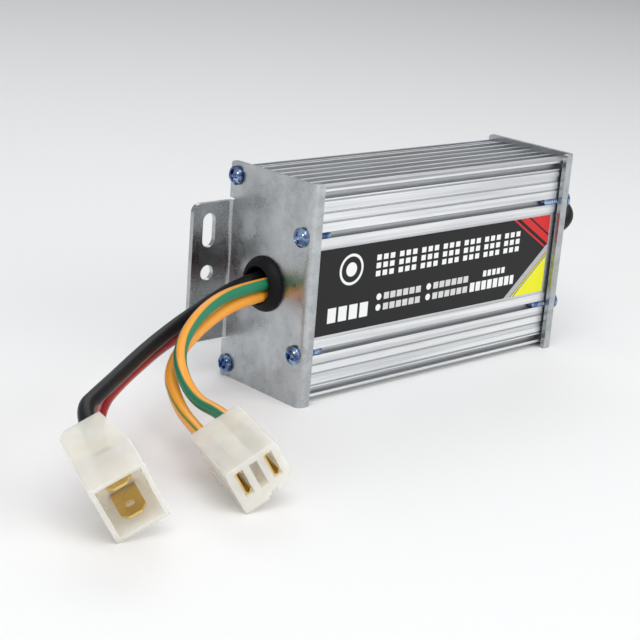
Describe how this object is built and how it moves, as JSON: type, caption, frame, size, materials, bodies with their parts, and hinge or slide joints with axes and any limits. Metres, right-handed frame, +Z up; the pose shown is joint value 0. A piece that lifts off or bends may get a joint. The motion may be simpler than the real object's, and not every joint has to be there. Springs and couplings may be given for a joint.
{
  "type": "electronic speed controller",
  "caption": "Ribbed aluminium speed controller for a brushed DC motor, with bent steel mounting plates, rubber grommets and power, motor and control leads in push-on connectors.",
  "frame": {"origin": "middle of the case's footprint, on the surface that its end plates stand on", "axes": "+X along the case from the lead end to the control end, +Y from the label towards the mounting plane of the ears, +Z up"},
  "size_m": [0.2448, 0.124, 0.064],
  "materials": {
    "extrusion_aluminium": "satin mill finish, bright rib edges",
    "galvanised_steel": "spangled zinc coat",
    "zinc_screw": "bright blue zinc plate",
    "grommet_rubber": "matt moulded",
    "label_film": "printed black film",
    "board_laminate": "solder mask",
    "package_epoxy": "moulded epoxy on tinned metal",
    "silicone_pad": "soft grey pad",
    "bar_aluminium": "plain",
    "can_sleeve": "shrunk sleeve on an aluminium can",
    "resistance_wire": "drawn wire",
    "resistor_lacquer": "lacquer with colour bands",
    "ceramic_lacquer": "dipped lacquer",
    "tinned_brass": "tinned",
    "header_nylon": "moulded",
    "red_insulation": "smooth PVC",
    "black_insulation": "smooth PVC",
    "green_yellow_insulation": "smooth PVC, green and amber halves",
    "amber_green_insulation": "smooth PVC, amber with a green stripe",
    "clear_nylon": "natural translucent nylon",
    "brass": "pressed strip"
  },
  "bodies": {
    "root": {"case_extrusion": "extrusion_aluminium", "lead_end_plate": "galvanised_steel", "control_end_plate": "galvanised_steel", "lead_end_screws": "zinc_screw", "control_end_screws": "zinc_screw", "lead_grommet": "grommet_rubber", "control_grommet": "grommet_rubber", "rating_label": "label_film", "circuit_board": "board_laminate", "power_transistors": "package_epoxy", "freewheel_diodes": "package_epoxy", "insulating_strip": "silicone_pad", "clamp_bar": "bar_aluminium", "clamp_screws": "zinc_screw", "filter_capacitors": "can_sleeve", "current_shunt": "resistance_wire", "control_chip": "package_epoxy", "voltage_regulator": "package_epoxy", "board_resistors": "resistor_lacquer", "board_ceramic_capacitors": "ceramic_lacquer", "lead_terminals": "tinned_brass", "control_header": "header_nylon", "power_positive_lead": "red_insulation", "power_negative_lead": "black_insulation", "motor_positive_lead": "green_yellow_insulation", "motor_negative_lead": "amber_green_insulation", "control_lead": "black_insulation", "power_connector_housing": "clear_nylon", "power_connector_tabs": "brass", "motor_connector_housing": "clear_nylon", "motor_connector_receptacles": "brass", "control_connector_housing": "header_nylon", "control_connector_pins": "brass"}
  },
  "joints": []
}
